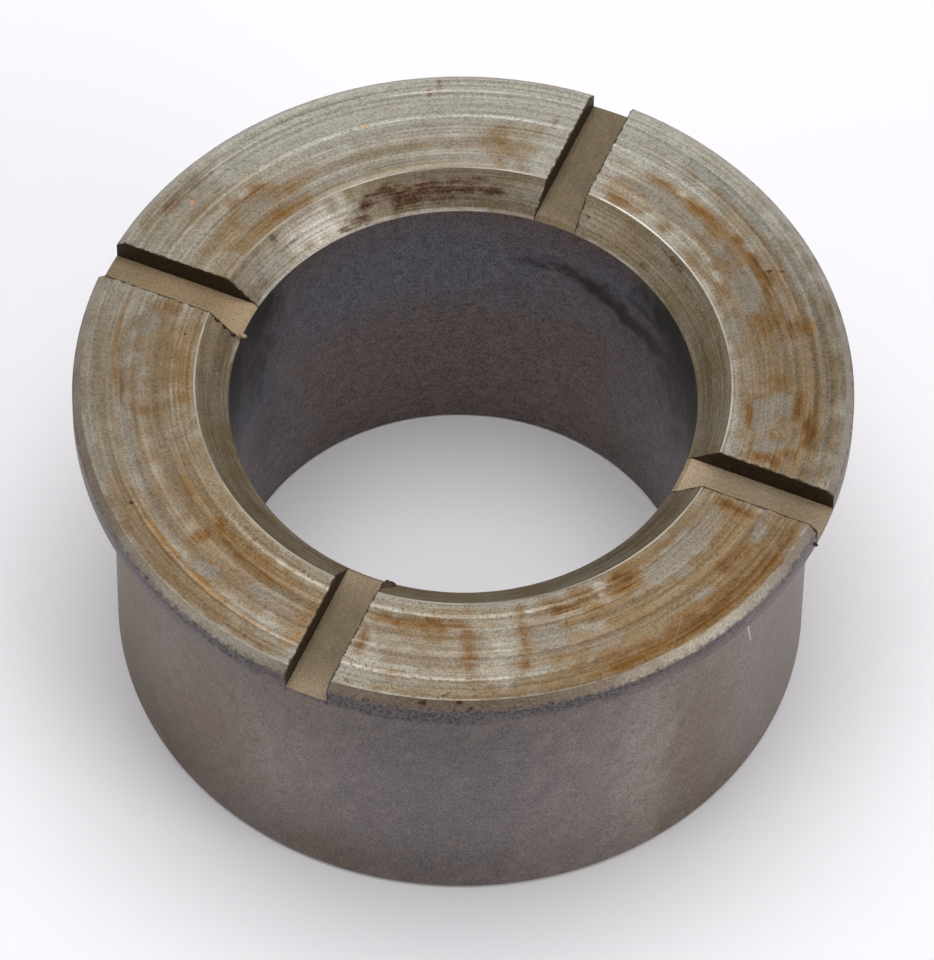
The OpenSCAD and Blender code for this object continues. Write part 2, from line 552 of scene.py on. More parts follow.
def section():
    """Outline of the half section, from the bore's tail end round to the start."""
    rng = random.Random(SECTION_SEED)
    tail = (BORE_R + TAIL_BREAK, 0.0)
    root = (SLEEVE_R + ROOT_R, SHOULDER_Z)
    bevel = (FLANGE_R, TOP_Z - RIM_BEVEL)
    inner = TOP_Z - INNER_DROP
    middle = TOP_Z - MIDDLE_DROP
    outer = TOP_Z - OUTER_DROP
    mouth = inner - MOUTH_EDGE_DROP
    bore_top = (BORE_R, TOP_Z - MOUTH_DEPTH)
    points = turned_line(tail, (SLEEVE_R - TAIL_BEVEL, 0.0), TAIL_PITCH, TAIL_CUT, rng)
    points += [(SLEEVE_R, TAIL_BEVEL)]
    points += even_line((SLEEVE_R, TAIL_BEVEL), (SLEEVE_R, SHOULDER_Z - ROOT_R), WALL_CUTS)
    for i in range(1, ROOT_CUTS + 1):
        a = math.radians(90 * i / ROOT_CUTS)
        points.append((SLEEVE_R + ROOT_R * (1 - math.cos(a)), SHOULDER_Z - ROOT_R * (1 - math.sin(a))))
    points += turned_line(root, (FLANGE_R, SHOULDER_Z), SHOULDER_PITCH, SHOULDER_CUT, rng)[1:]
    points += even_line((FLANGE_R, SHOULDER_Z), bevel, RIM_CUTS)
    points += turned_line(bevel, (FACE_R, outer), FACE_PITCH, BEVEL_CUT, rng)[1:]
    points += turned_line(
        (FACE_R, outer), (OUTER_STEP_R + STEP_RUN, outer), FACE_PITCH, FACE_CUT, rng, DEEP_RINGS)[1:]
    points += turned_line(
        (OUTER_STEP_R, middle), (INNER_STEP_R + STEP_RUN, middle), FACE_PITCH, FACE_CUT, rng, DEEP_RINGS)
    points += turned_line((INNER_STEP_R, inner), (MOUTH_R + MOUTH_EDGE, inner), FACE_PITCH, INNER_CUT, rng)
    points += turned_line((MOUTH_R, mouth), bore_top, MOUTH_PITCH, MOUTH_CUT, rng)
    points += even_line(bore_top, (BORE_R, TAIL_BREAK), WALL_CUTS)
    return points


def turn_blank():
    """The section drawn by extruding one vertex from point to point, closed and turned about the bore."""
    outline = section()
    bpy.ops.object.select_all(action="DESELECT")
    bpy.ops.mesh.primitive_plane_add(size=MM, location=(0, 0, 0))
    blank = bpy.context.object
    blank.name = "turned_bushing"
    bpy.ops.object.mode_set(mode="EDIT")
    bpy.ops.mesh.select_all(action="SELECT")
    bpy.ops.mesh.merge(type="CENTER")
    here = Vector((outline[0][0], 0, outline[0][1]))
    bpy.ops.transform.translate(value=here)
    for r, z in outline[1:]:
        there = Vector((r, 0, z))
        bpy.ops.mesh.extrude_vertices_move(TRANSFORM_OT_translate={"value": there - here})
        here = there
    mesh = bmesh.from_edit_mesh(blank.data)
    ends = [v for v in mesh.verts if len(v.link_edges) == 1]
    bpy.ops.mesh.select_all(action="DESELECT")
    for v in ends:
        v.select = True
    mesh.select_flush(True)
    bmesh.update_edit_mesh(blank.data)
    bpy.ops.mesh.edge_face_add()
    bpy.ops.object.mode_set(mode="OBJECT")
    lathe = blank.modifiers.new("lathe", "SCREW")
    lathe.steps = LATHE_STEPS
    lathe.render_steps = LATHE_STEPS
    lathe.use_merge_vertices = True
    lathe.merge_threshold = LATHE_MERGE
    bpy.ops.object.modifier_apply(modifier=lathe.name)
    bpy.ops.object.mode_set(mode="EDIT")
    bpy.ops.mesh.select_all(action="SELECT")
    bpy.ops.mesh.normals_make_consistent(inside=False)
    bpy.ops.object.mode_set(mode="OBJECT")
    return blank


def slot_cutter(angle, wall, floor):
    """A cutter lying along one slot, its sides a little ragged."""
    reach = FLANGE_R + CUT_OVER
    bpy.ops.object.select_all(action="DESELECT")
    bpy.ops.mesh.primitive_grid_add(
        x_subdivisions=RAGGED_CUTS, y_subdivisions=1, size=1, location=(0, 0, 0))
    cutter = bpy.context.object
    cutter.scale = (reach, SLOT_W, 1)
    cutter.location = (reach / 2, 0, 0)
    bpy.ops.object.transform_apply(location=True, rotation=True, scale=True)
    bpy.ops.object.mode_set(mode="EDIT")
    bpy.ops.mesh.select_all(action="SELECT")
    bpy.ops.transform.vertex_random(offset=RAGGED, uniform=1, normal=0, seed=angle)
    bpy.ops.transform.resize(value=(1, 1, 0), center_override=(0, 0, 0))
    bpy.ops.transform.translate(value=(0, 0, TOP_Z - SLOT_DEPTH))
    bpy.ops.mesh.extrude_region_move(TRANSFORM_OT_translate={"value": (0, 0, CUT_OVER)})
    bpy.ops.mesh.select_all(action="SELECT")
    bpy.ops.mesh.normals_make_consistent(inside=False)
    bpy.ops.object.mode_set(mode="OBJECT")
    cutter.rotation_euler.z = math.radians(angle)
    bpy.ops.object.transform_apply(location=True, rotation=True, scale=True)
    cutter.data.materials.append(wall)
    cutter.data.materials.append(floor)
    for f in cutter.data.polygons:
        f.material_index = 1 if abs(f.normal.z) > 0.5 else 0
    return cutter


def combine(blank, tool, operation):
    """Cuts the tool away or joins it on; the new faces keep the tool's materials."""
    step = blank.modifiers.new("combine", "BOOLEAN")
    step.operation = operation
    step.solver = "EXACT"
    step.material_mode = "TRANSFER"
    step.object = tool
    bpy.ops.object.select_all(action="DESELECT")
    blank.select_set(True)
    bpy.context.view_layer.objects.active = blank
    bpy.ops.object.modifier_apply(modifier=step.name)
    bpy.data.objects.remove(tool)


def cut_slots(blank, wall, floor):
    """The four oil slots, cut with one tool; the cut faces take the cutter's materials."""
    cutters = [slot_cutter(a, wall, floor) for a in SLOT_ANGLES]
    bpy.ops.object.select_all(action="DESELECT")
    for c in cutters:
        c.select_set(True)
    bpy.context.view_layer.objects.active = cutters[0]
    bpy.ops.object.join()
    combine(blank, bpy.context.object, "DIFFERENCE")


def around(angle, radius, height):
    """The point at an angle over the face, in millimetres."""
    turn = math.radians(MARKS_START - angle)
    return Vector((radius * math.cos(turn), radius * math.sin(turn), height))


def burr_lumps(burrs, made):
    """Small ragged lumps where burrs stand."""
    lumps = []
    for i, (angle, radius, height, *half) in enumerate(burrs):
        bpy.ops.object.select_all(action="DESELECT")
        bpy.ops.mesh.primitive_ico_sphere_add(subdivisions=3, radius=1, location=(0, 0, 0))
        lump = bpy.context.object
        bpy.ops.object.mode_set(mode="EDIT")
        bpy.ops.mesh.select_all(action="SELECT")
        bpy.ops.transform.vertex_random(offset=BURR_RAGGED, uniform=1, normal=0, seed=i + 1)
        bpy.ops.object.mode_set(mode="OBJECT")
        lump.scale = (half[1] * MM, half[0] * MM, half[2] * MM)
        lump.rotation_euler.z = math.radians(MARKS_START - angle)
        lump.location = around(angle, radius, height) * MM
        bpy.ops.object.transform_apply(location=True, rotation=True, scale=True)
        lump.data.materials.append(made)
        lumps.append(lump)
    return lumps


def wander(angle, across, seed):
    """Slow random shifts over the surface, about -1 to 1."""
    rng = random.Random(seed)
    total = numpy.zeros(len(angle))
    for _ in range(WANDER_WAVES):
        turns = rng.randint(20, 90)
        waves = rng.uniform(-5.0, 5.0)
        start = rng.uniform(0, 2 * math.pi)
        total += numpy.sin(numpy.radians(angle * turns) + across * waves + start)
    return total / math.sqrt(WANDER_WAVES)


def paint(piece, name, marks, by_height=False):
    """Strength of the marks at every vertex, with uneven outlines, kept as an attribute for the finishes."""
    mesh = piece.data
    spots = numpy.empty(len(mesh.vertices) * 3)
    mesh.vertices.foreach_get("co", spots)
    x, y, z = spots.reshape(-1, 3).T / MM
    across = z if by_height else numpy.hypot(x, y)
    angle = MARKS_START - numpy.degrees(numpy.arctan2(y, x))
    aside = UNEVEN * wander(angle, across, 5)
    up = UNEVEN * wander(angle, across, 6)
    painted = numpy.zeros(len(across))
    for at, middle, arc, width, strength in marks:
        along = (angle - at + 180) % 360 - 180
        far = numpy.hypot(along / arc + aside, (across - middle) / width + up)
        painted = numpy.maximum(painted, strength * numpy.exp(-FADE * far * far))
    mesh.attributes.new(name, "FLOAT", "POINT").data.foreach_set("value", painted)


# Nodes

def tone(red, green, blue):
    """A colour from its 0 to 255 readings."""
    values = [v / 255 for v in (red, green, blue)]
    return (*(v / 12.92 if v <= 0.04045 else ((v + 0.055) / 1.055) ** 2.4 for v in values), 1)


def feed(tree, socket, value):
    """Sets an input to a value, or links it to another node's output."""
    if isinstance(value, bpy.types.NodeSocket):
        tree.links.new(value, socket)
    else:
        socket.default_value = value


def put(tree, kind, inputs=None, **settings):
    """Adds a node with its settings and inputs."""
    node = tree.nodes.new(kind)
    for key, value in settings.items():
        setattr(node, key, value)
    for key, value in (inputs or {}).items():
        feed(tree, node.inputs[key], value)
    return node


def calc(tree, operation, *values):
    """A sum, product or other result of numbers."""
    return put(tree, "ShaderNodeMath", dict(enumerate(values)), operation=operation).outputs[0]


def weighted(tree, *parts):
    """The sum of values, each times its weight."""
    products = [calc(tree, "MULTIPLY", value, weight) for value, weight in parts]
    total = products[0]
    for product in products[1:]:
        total = calc(tree, "ADD", total, product)
    return total


def vector(tree, operation, *values, **named):
    """The outputs of a calculation with vectors."""
    inputs = {**dict(enumerate(values)), **named}
    return put(tree, "ShaderNodeVectorMath", inputs, operation=operation).outputs


def ramp(tree, value, low, high, start=0.0, end=1.0):
    """Eases from start to end while the value goes from low to high."""
    inputs = {"Value": value, "From Min": low, "From Max": high, "To Min": start, "To Max": end}
    return put(tree, "ShaderNodeMapRange", inputs, interpolation_type="SMOOTHSTEP").outputs[0]


def blend(tree, factor, first, second, mode="MIX"):
    """The first colour, with the second mixed in by the factor."""
    inputs = {0: factor, 6: first, 7: second}
    return put(tree, "ShaderNodeMix", inputs, data_type="RGBA", blend_type=mode).outputs[2]


def cover(tree, color, mask, share, over):
    """The colour with another over it where the mask is, by no more than the share."""
    return blend(tree, calc(tree, "MULTIPLY", mask, share), color, over)


def noise(tree, spot, scale, detail, roughness):
    """Smooth random values, 0 to 1."""
    inputs = {"Vector": spot, "Scale": scale, "Detail": detail, "Roughness": roughness}
    return put(tree, "ShaderNodeTexNoise", inputs).outputs["Fac"]


def group(name, inputs, outputs):
    """A new shader group with number inputs; returns it, its inputs and its outputs."""
    tree = bpy.data.node_groups.new(name, "ShaderNodeTree")
    for label, value in inputs.items():
        socket = tree.interface.new_socket(label, in_out="INPUT", socket_type="NodeSocketFloat")
        socket.default_value = value
    for label, kind in outputs.items():
        tree.interface.new_socket(label, in_out="OUTPUT", socket_type=kind)
    return tree, tree.nodes.new("NodeGroupInput").outputs, tree.nodes.new("NodeGroupOutput").inputs


def use(tree, made, **inputs):
    """The outputs of a shader group."""
    return put(tree, "ShaderNodeGroup", inputs, node_tree=made).outputs


def field(tree, name):
    """One of the painted attributes."""
    return put(tree, "ShaderNodeAttribute", attribute_name=name).outputs["Fac"]


def place_group():
    """Where a point is on the bushing, in millimetres, and how far it is from the nearest slot's edge."""
    outputs = {
        "Place": "NodeSocketVector",
        "Way": "NodeSocketVector",
        "Radius": "NodeSocketFloat",
        "Across": "NodeSocketFloat",
        "Height": "NodeSocketFloat",
        "Slot Edge": "NodeSocketFloat",
        "Slot Across": "NodeSocketFloat",
    }
    tree, _, out = group("place on the bushing", {}, outputs)
    spot = put(tree, "ShaderNodeTexCoord").outputs["Object"]
    place = vector(tree, "SCALE", spot, Scale=1 / MM)[0]
    x, y, z = put(tree, "ShaderNodeSeparateXYZ", {0: place}).outputs
    flat = put(tree, "ShaderNodeCombineXYZ", {0: x, 1: y}).outputs[0]
    radius = vector(tree, "LENGTH", flat)["Value"]
    u = calc(tree, "ADD", x, y)
    v = calc(tree, "SUBTRACT", x, y)
    along_v = calc(tree, "LESS_THAN", calc(tree, "ABSOLUTE", u), calc(tree, "ABSOLUTE", v))
    nearest = calc(tree, "ADD", v, calc(tree, "MULTIPLY", along_v, calc(tree, "SUBTRACT", u, v)))
    slot_across = calc(tree, "MULTIPLY", nearest, math.sqrt(0.5))
    slot_edge_gap = calc(tree, "SUBTRACT", calc(tree, "ABSOLUTE", slot_across), SLOT_W / 2 / MM)
    tree.links.new(place, out["Place"])
    tree.links.new(vector(tree, "NORMALIZE", flat)[0], out["Way"])
    tree.links.new(radius, out["Radius"])
    tree.links.new(calc(tree, "ADD", radius, z), out["Across"])
    tree.links.new(z, out["Height"])
    tree.links.new(slot_edge_gap, out["Slot Edge"])
    tree.links.new(slot_across, out["Slot Across"])
    return tree


def marks_group(place):
    """Turning marks: streaks that run round the axis."""
    outputs = {"Value": "NodeSocketFloat", "Spot": "NodeSocketVector"}
    tree, given, out = group("turning marks", {"Arc": 10.0, "Pitch": 8.0}, outputs)
    at = use(tree, place)
    way = vector(tree, "SCALE", at["Way"], Scale=given["Arc"])[0]
    x, y, _ = put(tree, "ShaderNodeSeparateXYZ", {0: way}).outputs
    across = calc(tree, "MULTIPLY", at["Across"], given["Pitch"])
    spot = put(tree, "ShaderNodeCombineXYZ", {0: x, 1: y, 2: across}).outputs[0]
    tree.links.new(ramp(tree, noise(tree, spot, 1.0, 3.0, 0.6), 0.3, 0.7), out["Value"])
    tree.links.new(spot, out["Spot"])
    return tree


def speckle_group(place):
    """Grain or blotches of one size."""
    tree, given, out = group("speckle", {"Scale": 8.0, "Detail": 2.0}, {"Value": "NodeSocketFloat"})
    fine = noise(tree, use(tree, place)["Place"], given["Scale"], given["Detail"], 0.6)
    tree.links.new(ramp(tree, fine, 0.3, 0.7), out["Value"])
    return tree


def broken_group(place, marks):
    """A painted mark with its edge broken up, as a mask."""
    inputs = {"Field": 0.0, "Scale": 2.0, "Spread": 0.5, "Streak": 0.35, "Low": 0.35, "High": 0.6}
    tree, given, out = group("broken mark", inputs, {"Value": "NodeSocketFloat"})
    blot = noise(tree, use(tree, place)["Place"], given["Scale"], 6.0, 0.75)
    streak = noise(tree, use(tree, marks, Arc=9.0, Pitch=6.0)["Spot"], 1.0, 3.0, 0.6)
    streaky = calc(tree, "MULTIPLY", calc(tree, "SUBTRACT", streak, blot), given["Streak"])
    mixed = calc(tree, "ADD", blot, streaky)
    shift = calc(tree, "MULTIPLY", calc(tree, "SUBTRACT", mixed, 0.5), given["Spread"])
    uneven = calc(tree, "ADD", given["Field"], shift)
    tree.links.new(ramp(tree, uneven, given["Low"], given["High"]), out["Value"])
    return tree


PLACE = place_group()
MARKS = marks_group(PLACE)
SPECKLE = speckle_group(PLACE)
BROKEN = broken_group(PLACE, MARKS)


def turning(tree, arc, pitch):
    """Turning marks; a larger arc value makes shorter streaks, a larger pitch value closer ones."""
    return use(tree, MARKS, Arc=arc, Pitch=pitch)["Value"]


def speckle(tree, scale, detail=2.0):
    """Grain or blotches, 0 to 1."""
    return use(tree, SPECKLE, Scale=scale, Detail=detail)["Value"]


def broken(tree, marks, scale, spread, low, high, streak=0.35):
    """Painted marks as a mask, from nothing at low to full at high, broken up by the spread."""
    made = use(tree, BROKEN, Field=marks, Scale=scale, Spread=spread, Streak=streak, Low=low, High=high)
    return made["Value"]


# Finishes

CLEAN = tone(180, 176, 163)
TAN = tone(150, 130, 101)
GREY = tone(153, 145, 130)
RUST = tone(130, 90, 36)
DEEP_RUST = tone(100, 66, 28)
ORANGE = tone(200, 148, 100)
GOLD = tone(168, 124, 66)
PALE = tone(190, 184, 168)
# Painted highlight on the deeper rings
RING_HIGHLIGHT = tone(210, 208, 200)
# Painted shade along the slots' edges
EDGE_SHADE = tone(44, 33, 24)
# Colours that darken what they multiply: duller steel with painted shade, and painted shade on the sleeve
DULL_AND_SHADE = (0.62, 0.60, 0.57, 1)
SHADE_DIM = (0.78, 0.77, 0.76, 1)


def material(name):
    """A new material, its nodes and its shader's inputs."""
    made = bpy.data.materials.new(name)
    made.use_nodes = True
    tree = made.node_tree
    return made, tree, tree.nodes["Principled BSDF"].inputs


def finish(tree, shader, color, metallic, roughness, height, relief):
    """Gives the shader its values, with a fine relief in the surface."""
    feed(tree, shader["Base Color"], color)
    feed(tree, shader["Metallic"], metallic)
    feed(tree, shader["Roughness"], roughness)
    bump = put(tree, "ShaderNodeBump", {"Strength": 0.6, "Distance": relief, "Height": height})
    feed(tree, shader["Normal"], bump.outputs[0])


def shade(tree, color, value, low, high):
    """The colour made darker or lighter by a value from 0 to 1."""
    level = put(tree, "ShaderNodeMapRange", {"Value": value, "To Min": low, "To Max": high}).outputs[0]
    grey = put(tree, "ShaderNodeCombineColor", {0: level, 1: level, 2: level}).outputs[0]
    return blend(tree, 1.0, color, grey, "MULTIPLY")


def dulled_and_shaded(tree, color, light, low, high):
    """The colour with its light and dark marks, darker where the darkening marks lie: duller steel and
    painted shade.
    """
    return blend(tree, field(tree, "dull_and_shade"), shade(tree, color, light, low, high), DULL_AND_SHADE, "MULTIPLY")


def scratch(tree, color, ends, strength):
    """The colour with a thin pale scratch from one end to the other."""
    start, end = (around(*e) for e in ends)
    run = end - start
    aside = vector(tree, "SUBTRACT", use(tree, PLACE)["Place"], start)[0]
    along = vector(tree, "DOT_PRODUCT", aside, run / run.length_squared)["Value"]
    part = put(tree, "ShaderNodeClamp", {0: along}).outputs[0]
    foot = vector(tree, "SCALE", run, Scale=part)[0]
    far = vector(tree, "DISTANCE", aside, foot)["Value"]
    return blend(tree, ramp(tree, far, 0.4 * SCRATCH_W, SCRATCH_W, strength, 0.0), color, PALE)


def slot_edge(tree, color):
    """The colour with a thin, ragged dark line of painted shade along the slots' edges."""
    ragged = calc(tree, "MULTIPLY", speckle(tree, 3.0), 0.08)
    edge = calc(tree, "SUBTRACT", calc(tree, "ABSOLUTE", use(tree, PLACE)["Slot Edge"]), ragged)
    return blend(tree, ramp(tree, edge, -0.01, 0.04, 0.85, 0.0), color, EDGE_SHADE)


def orange_dots(tree, color):
    """The colour with small dots of fresh rust."""
    return blend(tree, ramp(tree, field(tree, "orange"), 0.4, 0.8), color, ORANGE)


def step_gap(tree, radius):
    """Distance from the middle of a step of the face, in millimetres."""
    middle = (radius + 0.5 * STEP_RUN) / MM
    return calc(tree, "ABSOLUTE", calc(tree, "SUBTRACT", use(tree, PLACE)["Radius"], middle))


def ring_lines(tree, radii):
    """Thin lines at these radii, as a mask."""
    radius = use(tree, PLACE)["Radius"]
    gap = 1.0
    for r in radii:
        gap = calc(tree, "MINIMUM", calc(tree, "ABSOLUTE", calc(tree, "SUBTRACT", radius, r / MM)), gap)
    return ramp(tree, gap, 0.3 * RING_W / MM, RING_W / MM, 1.0, 0.0)


def face_stains(tree, fine):
    """Colours of the thrust face, from a tan film up to the dark spots, and the mask of its rust."""
    bands = calc(tree, "SUBTRACT", turning(tree, 0.7, 1.6), 0.5)
    film = calc(tree, "ADD", field(tree, "tan"), calc(tree, "MULTIPLY", bands, 0.45))
    color = blend(tree, broken(tree, film, 0.9, 0.25, 0.0, 0.88), CLEAN, TAN)
    grey = field(tree, "grey")
    color = cover(tree, color, broken(tree, grey, 1.4, 0.9, 0.1, 0.5), 0.4, RUST)
    color = cover(tree, color, broken(tree, grey, 1.4, 0.9, 0.28, 0.85), 0.9, GREY)
    marks = field(tree, "rust")
    rust = broken(tree, marks, 1.6, 1.3, 0.1, 1.0, streak=0.55)
    streaked = calc(tree, "MULTIPLY", rust, ramp(tree, fine, 0.0, 1.0, 1.0, 0.5))
    color = blend(tree, streaked, color, RUST)
    color = blend(tree, broken(tree, marks, 3.0, 1.5, 0.6, 1.4, streak=0.55), color, DEEP_RUST)
    color = cover(tree, color, broken(tree, field(tree, "pale"), 2.2, 1.3, 0.3, 1.0), 0.8, PALE)
    gold = broken(tree, field(tree, "gold"), 3.0, 1.2, 0.2, 0.9, streak=0.5)
    color = cover(tree, color, gold, 0.85, GOLD)
    return blend(tree, broken(tree, field(tree, "dark"), 4.0, 0.5, 0.4, 0.7), color, DEEP_RUST), rust


def face_rings(tree, color, wide):
    """The colour with painted highlights and painted shade, as bright and dark lines on the deeper rings."""
    sheen = calc(tree, "MULTIPLY", field(tree, "ring sheen"), ramp(tree, wide, 0.1, 0.6, 0.4, 1.0))
    color = blend(tree, calc(tree, "MULTIPLY", ring_lines(tree, HIGHLIGHT_RINGS), sheen), color, RING_HIGHLIGHT)
    ring_shade = calc(tree, "MULTIPLY", ring_lines(tree, SHADED_RINGS), calc(tree, "MULTIPLY", sheen, 0.6))
    return blend(tree, ring_shade, color, DULL_AND_SHADE, "MULTIPLY")


def face_edges(tree, color, edge_marks):
    """The colour with a painted highlight on the lip round the mouth, and a pale line along the outer edge
    where the edge marks are.
    """
    radius = use(tree, PLACE)["Radius"]
    mouth = ramp(tree, radius, (MOUTH_R + 1.2 * MOUTH_EDGE) / MM, (MOUTH_R + 0.6 * MOUTH_EDGE) / MM)
    # Painted highlight on the mouth's lip, bright where the mouth marks are and duller elsewhere
    lip_highlight = blend(tree, field(tree, "mouth"), tone(128, 118, 102), tone(224, 221, 212))
    outer = ramp(tree, radius, (FACE_R - 0.1 * MM) / MM, (FACE_R - 0.03 * MM) / MM)
    outer = calc(tree, "MULTIPLY", outer, ramp(tree, speckle(tree, 1.6), 0.1, 0.7, 0.2, 1.0))
    color = blend(tree, calc(tree, "MULTIPLY", outer, edge_marks), color, PALE)
    return slot_edge(tree, blend(tree, mouth, color, lip_highlight))


def turned_face():
    """The thrust face: fine rings, a tan bloom, blue-grey tide marks with rust round them, painted highlights
    on its steps, rings and mouth's lip, and painted shade on its sides and along the slots.
    """
    made, tree, shader = material("turned thrust face")
    fine = turning(tree, 2.6, 9.0)
    wide = turning(tree, 1.3, 3.6)
    long = turning(tree, 0.6, 7.0)
    edge_marks = field(tree, "edge highlights and flecks")
    color, rust = face_stains(tree, fine)
    color = face_rings(tree, color, wide)
    light = weighted(tree, (fine, 0.15), (speckle(tree, 10.0), 0.38), (wide, 0.22), (long, 0.25))
    steps = calc(tree, "MINIMUM", step_gap(tree, INNER_STEP_R), step_gap(tree, OUTER_STEP_R))
    # Painted highlights on the steps of the face, where the edge marks are
    step_highlights = calc(tree, "MULTIPLY", ramp(tree, steps, 0.03, 0.1, 1.0, 0.0), edge_marks)
    color = dulled_and_shaded(tree, blend(tree, step_highlights, color, PALE), light, 0.4, 1.36)
    flecks = ramp(tree, speckle(tree, 5.0), 0.02, 0.14, 1.0, 0.0)
    flecks = calc(tree, "MULTIPLY", flecks, ramp(tree, edge_marks, 0.0, 1.0, 0.2, 0.9))
    color = scratch(tree, blend(tree, flecks, color, DEEP_RUST), FACE_SCRATCH, 0.14)
    color = face_edges(tree, orange_dots(tree, color), edge_marks)
    shader["Specular IOR Level"].default_value = 0.1
    metallic = ramp(tree, rust, 0.0, 1.0, 0.5, 0.1)
    roughness = ramp(tree, rust, 0.0, 1.0, 0.36, 0.6)
    finish(tree, shader, color, metallic, roughness, weighted(tree, (fine, 0.7), (wide, 0.3)), 0.005 * MM)
    return made


def countersink():
    """The bore's mouth: turned like the face, greyer, with a dark rust patch, and painted shade where the
    darkening marks lie and along the slots.
    """
    made, tree, shader = material("turned countersink")
    grain = speckle(tree, 10.0)
    color = blend(tree, speckle(tree, 0.5, 4.0), tone(154, 142, 122), tone(141, 124, 96))
    pale = broken(tree, field(tree, "pale"), 1.5, 1.2, 0.1, 1.1)
    color = cover(tree, color, pale, 0.8, tone(200, 194, 184))
    dark = broken(tree, field(tree, "dark"), 4.0, 2.6, 0.15, 1.0, streak=0.5)
    color = cover(tree, color, dark, 0.95, blend(tree, grain, tone(60, 38, 25), tone(106, 70, 46)))
    light = weighted(tree, (turning(tree, 2.0, 6.0), 0.5), (grain, 0.4), (turning(tree, 1.5, 1.6), 0.1))
    color = orange_dots(tree, slot_edge(tree, dulled_and_shaded(tree, color, light, 0.4, 1.3)))
    under_slot = ramp(tree, use(tree, PLACE)["Slot Edge"], -0.01, 0.0, 1.0, 0.0)
    color = blend(tree, under_slot, color, shade(tree, floor_color(tree), grain, 0.85, 1.3))
    shader["Specular IOR Level"].default_value = 0.1
    metallic = ramp(tree, dark, 0.0, 1.0, 0.5, 0.2)
    metallic = calc(tree, "SUBTRACT", metallic, calc(tree, "MULTIPLY", under_slot, 0.2))
    finish(tree, shader, color, metallic, ramp(tree, dark, 0.0, 1.0, 0.42, 0.65), light, 0.004 * MM)
    return made


def floor_color(tree):
    """Colour of the slots' floors, browner and paler towards some of their ends."""
    color = blend(tree, speckle(tree, 1.2, 4.0), tone(128, 112, 86), tone(117, 103, 80))
    color = blend(tree, field(tree, "floor tan"), color, tone(162, 136, 102))
    return blend(tree, field(tree, "floor pale"), color, tone(174, 153, 126))


def slot_floor():
    """Floor of the slots: matt, with milling lines along them."""
    made, tree, shader = material("slot floor")
    at = use(tree, PLACE)
    lines = put(tree, "ShaderNodeCombineXYZ", {
        0: calc(tree, "MULTIPLY", at["Slot Across"], 9.0),
        1: calc(tree, "MULTIPLY", at["Radius"], 0.7),
    }).outputs[0]
    milled = ramp(tree, noise(tree, lines, 1.0, 3.0, 0.6), 0.3, 0.7)
    light = weighted(tree, (milled, 0.3), (speckle(tree, 11.0), 0.7))
    color = shade(tree, floor_color(tree), light, 0.7, 1.25)
    finish(tree, shader, color, 0.3, 0.65, light, 0.008 * MM)
    return made


def slot_wall():
    """Walls of the slots: very dark brown."""
    made, tree, shader = material("slot wall")
    grain = speckle(tree, 5.0, 4.0)
    color = blend(tree, grain, tone(42, 31, 18), tone(62, 47, 29))
    shader["Specular IOR Level"].default_value = 0.2
    finish(tree, shader, color, 0.0, 0.6, grain, 0.006 * MM)
    return made


def burr():
    """Dark rusty burrs."""
    made, tree, shader = material("dark burr")
    grain = speckle(tree, 8.0, 3.0)
    color = blend(tree, grain, tone(44, 29, 19), tone(84, 58, 40))
    finish(tree, shader, color, 0.2, 0.7, grain, 0.01 * MM)
    return made


def rim():
    """Outer edge of the flange: a bevel with painted highlights over a band like the sleeve, dark and pitted
    below the bevel; at the front the dark is partly painted shade.
    """
    made, tree, shader = material("flange rim")
    grain = speckle(tree, 11.0, 4.0)
    edge_marks = field(tree, "bevel highlight")
    shift = calc(tree, "MULTIPLY", calc(tree, "SUBTRACT", speckle(tree, 4.5, 3.0), 0.5), 0.16)
    uneven = calc(tree, "ADD", use(tree, PLACE)["Height"], shift)
    bevel = ramp(tree, uneven, (TOP_Z - 1.2 * RIM_BEVEL) / MM, (TOP_Z - 0.75 * RIM_BEVEL) / MM)
    band = blend(tree, speckle(tree, 0.3, 4.0), tone(114, 104, 101), tone(108, 95, 89))
    band = cover(tree, shade(tree, band, grain, 0.7, 1.25), edge_marks, 0.35, tone(142, 135, 134))
    pits = ramp(tree, speckle(tree, 7.0, 3.0), 0.15, 0.75)
    # Dark pitted band, partly painted shade at the front
    dark_and_shaded_band = broken(tree, field(tree, "rim dark"), 4.5, 1.8, 0.1, 0.8)
    band = cover(tree, band, dark_and_shaded_band, 0.9, shade(tree, tone(94, 86, 88), pits, 0.22, 1.0))
    # Painted highlight on the bevel where the bevel marks are
    edge = shade(tree, blend(tree, edge_marks, tone(123, 108, 92), tone(178, 171, 156)), grain, 0.8, 1.2)
    spots = broken(tree, field(tree, "rim spots"), 8.0, 1.4, 0.3, 0.7)
    color = cover(tree, blend(tree, bevel, band, edge), spots, 0.92, tone(80, 44, 24))
    metallic = ramp(tree, bevel, 0.0, 1.0, 0.6, 0.75)
    roughness = ramp(tree, bevel, 0.0, 1.0, 0.5, 0.45)
    finish(tree, shader, slot_edge(tree, color), metallic, roughness, pits, 0.012 * MM)
    return made


